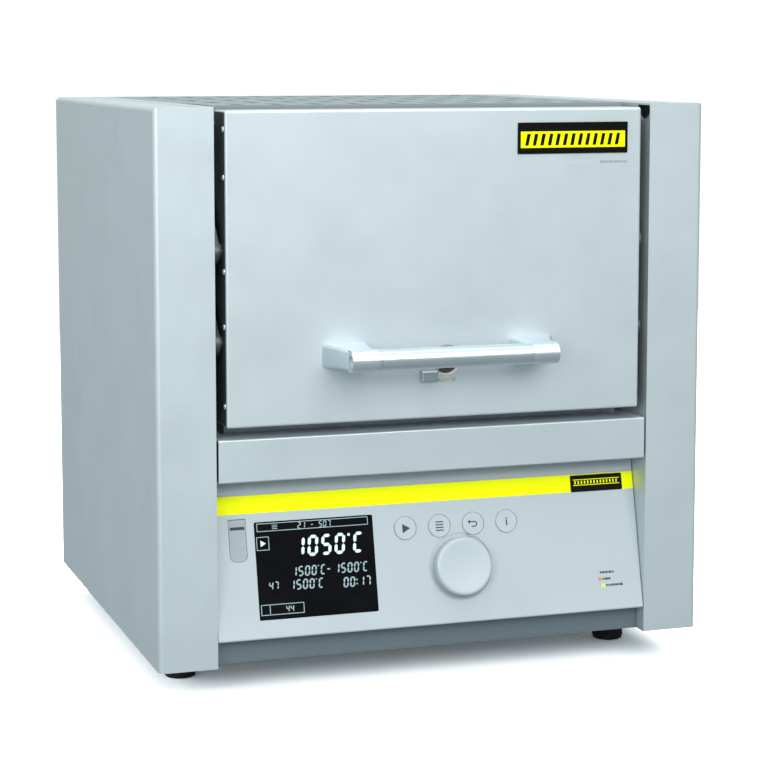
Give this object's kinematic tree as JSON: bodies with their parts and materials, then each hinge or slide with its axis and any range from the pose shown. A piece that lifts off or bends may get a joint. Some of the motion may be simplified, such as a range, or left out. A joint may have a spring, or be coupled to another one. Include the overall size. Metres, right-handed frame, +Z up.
{
  "type": "bench-top pottery kiln",
  "caption": "Bench-top electric kiln with a lifting front door on parallel arms, an insulated chamber and a tilted control panel.",
  "frame": {"origin": "middle of the object's footprint, on the surface that its feet stand on", "axes": "+X to the right seen from the front, +Y to the back, +Z up"},
  "size_m": [0.385, 0.4045, 0.392],
  "materials": {
    "housing_steel": "satin, finely textured sheet",
    "skirt_steel": "satin",
    "casing_steel": "dull sheet, heat tinted at the mouth",
    "link_steel": "bright zinc plated",
    "bush_bronze": "dull bronze",
    "fibre": "matte vacuum-formed ceramic fibre",
    "ceramic": "matte fired ceramic",
    "heater_wire": "oxidised wire",
    "handle_steel": "brushed",
    "badge_black": "gloss black",
    "panel_plastic": "satin moulded",
    "stripe_yellow": "satin",
    "display_glass": "gloss, dark tinted",
    "board_green": "solder mask",
    "black_plastic": "fine grain",
    "heatsink_aluminium": "extruded",
    "foot_rubber": "matte"
  },
  "bodies": {
    "housing": {"base_pan": "housing_steel", "control_panel": "panel_plastic", "controller_board": "board_green", "counterbalance_springs": "link_steel", "display_module": "black_plastic", "display_window": "display_glass", "encoder_body": "black_plastic", "equipment_deck": "housing_steel", "exhaust_flange": "casing_steel", "exhaust_tube": "ceramic", "floor_tile": "ceramic", "foot_bolts": "link_steel", "front_crosspiece": "housing_steel", "front_skirt": "skirt_steel", "heating_plates": "ceramic", "heating_wires": "heater_wire", "inner_casing": "casing_steel", "insulation_collar": "fibre", "insulation_floor": "fibre", "insulation_left": "fibre", "insulation_rear": "fibre", "insulation_right": "fibre", "insulation_roof": "fibre", "panel_label": "badge_black", "pivot_bushes": "bush_bronze", "power_inlet": "black_plastic", "rear_panel": "housing_steel", "rear_screws": "link_steel", "relay_heatsink": "heatsink_aluminium", "rubber_feet": "foot_rubber", "side_panel_left": "housing_steel", "side_panel_right": "housing_steel", "solid_state_relay": "black_plastic", "stripe_inlay": "stripe_yellow", "terminal_block": "black_plastic", "thermocouple": "ceramic", "top_cover": "housing_steel", "usb_port": "link_steel"},
    "upper_arms": {"lift_shaft": "link_steel", "upper_arm_left": "link_steel", "upper_arm_right": "link_steel"},
    "lower_arm_left": {"lower_arm_left": "link_steel"},
    "lower_arm_right": {"lower_arm_right": "link_steel"},
    "door": {"door_shell": "housing_steel", "door_insulation": "fibre", "door_back_plate": "casing_steel", "door_pins": "link_steel", "door_badge": "badge_black", "handle_rod": "handle_steel", "handle_brackets": "handle_steel", "inlet_tube": "ceramic"},
    "inlet_shutter": {"inlet_shutter": "link_steel"},
    "encoder_rotor": {"encoder_rotor": "link_steel"},
    "jog_dial": {"jog_dial": "panel_plastic"},
    "usb_flap": {"usb_flap": "panel_plastic"},
    "mains_rocker": {"mains_rocker": "black_plastic"},
    "button_play": {"button_play": "panel_plastic"},
    "button_menu": {"button_menu": "panel_plastic"},
    "button_back": {"button_back": "panel_plastic"},
    "button_info": {"button_info": "panel_plastic"}
  },
  "joints": [
    {"name": "door_lift", "type": "hinge", "parent": "housing", "child": "upper_arms", "pos_m": [0, -0.07926, 0.378], "axis": [-1, 0, 0], "range_deg": [0, 90]},
    {"name": "door_carry", "type": "hinge", "parent": "upper_arms", "child": "door", "pos_m": [0, -0.14675, 0.29757], "axis": [-1, 0, 0], "range_deg": [-90, 0]},
    {"name": "lower_arm_left_swing", "type": "hinge", "parent": "housing", "child": "lower_arm_left", "pos_m": [-0.1495, -0.07926, 0.318], "axis": [-1, 0, 0], "range_deg": [0, 90]},
    {"name": "lower_arm_right_swing", "type": "hinge", "parent": "housing", "child": "lower_arm_right", "pos_m": [0.1495, -0.07926, 0.318], "axis": [-1, 0, 0], "range_deg": [0, 90]},
    {"name": "inlet_slide", "type": "slide", "parent": "door", "child": "inlet_shutter", "axis": [1, 0, 0], "range_m": [0, 0.0175]},
    {"name": "dial_turn", "type": "hinge", "parent": "housing", "child": "encoder_rotor", "pos_m": [0.02, -0.15394, 0.07858], "axis": [0, -0.9736, 0.2284], "continuous": true},
    {"name": "dial_push", "type": "slide", "parent": "encoder_rotor", "child": "jog_dial", "axis": [0, 0.9736, -0.2284], "range_m": [0, 0.0008], "stiffness_N_per_m": 2500, "springref_m": -0.0005},
    {"name": "usb_flap_hinge", "type": "hinge", "parent": "housing", "child": "usb_flap", "pos_m": [-0.1352, -0.1439, 0.11788], "axis": [-1, 0, 0], "range_deg": [0, 95]},
    {"name": "mains_rocker_tilt", "type": "hinge", "parent": "housing", "child": "mains_rocker", "pos_m": [-0.12, 0.17925, 0.0825], "axis": [1, 0, 0], "range_deg": [0, 14]},
    {"name": "button_play_press", "type": "slide", "parent": "housing", "child": "button_play", "axis": [0, 0.9736, -0.2284], "range_m": [0, 0.0008], "stiffness_N_per_m": 1500, "springref_m": -0.0005},
    {"name": "button_menu_press", "type": "slide", "parent": "housing", "child": "button_menu", "axis": [0, 0.9736, -0.2284], "range_m": [0, 0.0008], "stiffness_N_per_m": 1500, "springref_m": -0.0005},
    {"name": "button_back_press", "type": "slide", "parent": "housing", "child": "button_back", "axis": [0, 0.9736, -0.2284], "range_m": [0, 0.0008], "stiffness_N_per_m": 1500, "springref_m": -0.0005},
    {"name": "button_info_press", "type": "slide", "parent": "housing", "child": "button_info", "axis": [0, 0.9736, -0.2284], "range_m": [0, 0.0008], "stiffness_N_per_m": 1500, "springref_m": -0.0005}
  ],
  "couplings": [
    {"joint": "door_carry", "follows": "door_lift", "ratio": -1},
    {"joint": "lower_arm_left_swing", "follows": "door_lift", "ratio": 1},
    {"joint": "lower_arm_right_swing", "follows": "door_lift", "ratio": 1}
  ]
}
